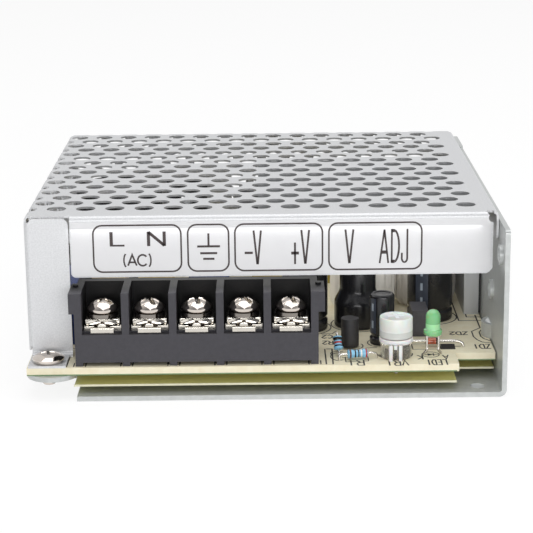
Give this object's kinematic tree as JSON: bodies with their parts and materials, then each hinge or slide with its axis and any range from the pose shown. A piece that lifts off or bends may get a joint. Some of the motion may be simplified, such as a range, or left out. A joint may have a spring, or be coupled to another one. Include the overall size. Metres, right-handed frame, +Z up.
{
  "type": "enclosed switching power supply",
  "caption": "Switching power supply in a low rectangular folded steel case with a perforated cover, a barrier terminal block along the front edge and an open corner with trimmer and lamp.",
  "frame": {"origin": "centre of the footprint on the underside of the base", "axes": "+X across the case to the side wall, +Y back from the terminals, +Z up"},
  "size_m": [0.097, 0.099, 0.036],
  "materials": {
    "galvanised_base": "galvanised sheet, satin",
    "galvanised_cover": "galvanised sheet, satin with a fine grain",
    "label": "satin self-adhesive label",
    "board": "matt paper laminate",
    "insulation": "satin translucent sheet",
    "screw_steel": "nickel plated",
    "terminal_plastic": "matt moulded",
    "contact_plate": "nickel plated",
    "clear_plastic": "clear moulded",
    "knob_plastic": "milky moulded",
    "lamp": "tinted clear resin",
    "lead_wire": "tinned wire",
    "resistor_blue": "gloss lacquer with colour bands",
    "diode_glass": "clear glass over an orange body",
    "black_plastic": "matt moulded",
    "black_sleeve": "satin shrink sleeve",
    "aluminium": "milled, satin",
    "white_tape": "wrapped tape",
    "ferrite": "ground ferrite",
    "yellow_tape": "polyester tape",
    "choke_tan": "wound wire on a moulded bobbin",
    "blue_epoxy": "gloss dipped",
    "fuse_body": "glazed tube",
    "green_epoxy": "dipped disc",
    "white_plastic": "matt moulded",
    "grey_film": "thin polyester film"
  },
  "bodies": {
    "case": {"chassis": "galvanised_base", "cover": "galvanised_cover", "front_label": "label", "pcb": "board", "insulation_sheet": "insulation", "cover_screw": "screw_steel", "board_screws": "screw_steel", "terminal_block": "terminal_plastic", "terminal_contacts": "contact_plate", "trimmer_base": "clear_plastic", "status_lamp": "lamp", "lamp_leads": "lead_wire", "film_resistors": "resistor_blue", "signal_diode": "diode_glass", "small_transistor": "black_plastic", "small_capacitor": "black_sleeve", "sleeved_choke": "black_sleeve", "output_capacitors": "black_sleeve", "box_capacitor": "black_plastic", "heatsink_bar": "aluminium", "bar_insulator": "black_plastic", "output_rectifier": "black_plastic", "rectifier_screw": "screw_steel", "taped_coils": "white_tape", "transformer_core": "ferrite", "transformer_winding": "yellow_tape", "bulk_capacitor": "black_sleeve", "line_choke": "choke_tan", "line_capacitor": "blue_epoxy", "fuse": "fuse_body", "bridge_rectifier": "black_plastic", "rear_heatsink": "aluminium", "switch_transistor": "black_plastic", "disc_capacitors": "blue_epoxy", "thermistor": "green_epoxy", "optocoupler": "white_plastic", "control_chip": "black_plastic", "cover_film": "grey_film"},
    "terminal_clamp_1": {"terminal_clamp_1": "contact_plate", "terminal_washer_1": "contact_plate"},
    "terminal_screw_1": {"terminal_screw_1": "contact_plate"},
    "terminal_clamp_2": {"terminal_clamp_2": "contact_plate", "terminal_washer_2": "contact_plate"},
    "terminal_screw_2": {"terminal_screw_2": "contact_plate"},
    "terminal_clamp_3": {"terminal_clamp_3": "contact_plate", "terminal_washer_3": "contact_plate"},
    "terminal_screw_3": {"terminal_screw_3": "contact_plate"},
    "terminal_clamp_4": {"terminal_clamp_4": "contact_plate", "terminal_washer_4": "contact_plate"},
    "terminal_screw_4": {"terminal_screw_4": "contact_plate"},
    "terminal_clamp_5": {"terminal_clamp_5": "contact_plate", "terminal_washer_5": "contact_plate"},
    "terminal_screw_5": {"terminal_screw_5": "contact_plate"},
    "trimmer": {"trimmer_knob": "knob_plastic"}
  },
  "joints": [
    {"name": "terminal_clamp_1_lift", "type": "slide", "parent": "case", "child": "terminal_clamp_1", "axis": [0, 0, 1], "range_m": [0, 0.003]},
    {"name": "terminal_screw_1_turn", "type": "hinge", "parent": "terminal_clamp_1", "child": "terminal_screw_1", "pos_m": [-0.03275, -0.0437, 0.0172], "axis": [0, 0, 1], "range_deg": [0, 1800]},
    {"name": "terminal_clamp_2_lift", "type": "slide", "parent": "case", "child": "terminal_clamp_2", "axis": [0, 0, 1], "range_m": [0, 0.003]},
    {"name": "terminal_screw_2_turn", "type": "hinge", "parent": "terminal_clamp_2", "child": "terminal_screw_2", "pos_m": [-0.02325, -0.0437, 0.0172], "axis": [0, 0, 1], "range_deg": [0, 1800]},
    {"name": "terminal_clamp_3_lift", "type": "slide", "parent": "case", "child": "terminal_clamp_3", "axis": [0, 0, 1], "range_m": [0, 0.003]},
    {"name": "terminal_screw_3_turn", "type": "hinge", "parent": "terminal_clamp_3", "child": "terminal_screw_3", "pos_m": [-0.01375, -0.0437, 0.0172], "axis": [0, 0, 1], "range_deg": [0, 1800]},
    {"name": "terminal_clamp_4_lift", "type": "slide", "parent": "case", "child": "terminal_clamp_4", "axis": [0, 0, 1], "range_m": [0, 0.003]},
    {"name": "terminal_screw_4_turn", "type": "hinge", "parent": "terminal_clamp_4", "child": "terminal_screw_4", "pos_m": [-0.00425, -0.0437, 0.0172], "axis": [0, 0, 1], "range_deg": [0, 1800]},
    {"name": "terminal_clamp_5_lift", "type": "slide", "parent": "case", "child": "terminal_clamp_5", "axis": [0, 0, 1], "range_m": [0, 0.003]},
    {"name": "terminal_screw_5_turn", "type": "hinge", "parent": "terminal_clamp_5", "child": "terminal_screw_5", "pos_m": [0.00525, -0.0437, 0.0172], "axis": [0, 0, 1], "range_deg": [0, 1800]},
    {"name": "trimmer_turn", "type": "hinge", "parent": "case", "child": "trimmer", "pos_m": [0.02665, -0.0425, 0.012], "axis": [0, 0, 1], "range_deg": [-130, 130]}
  ],
  "couplings": [
    {"joint": "terminal_screw_1_turn", "follows": "terminal_clamp_1_lift", "rad_per_m": 10472},
    {"joint": "terminal_screw_2_turn", "follows": "terminal_clamp_2_lift", "rad_per_m": 10472},
    {"joint": "terminal_screw_3_turn", "follows": "terminal_clamp_3_lift", "rad_per_m": 10472},
    {"joint": "terminal_screw_4_turn", "follows": "terminal_clamp_4_lift", "rad_per_m": 10472},
    {"joint": "terminal_screw_5_turn", "follows": "terminal_clamp_5_lift", "rad_per_m": 10472}
  ]
}
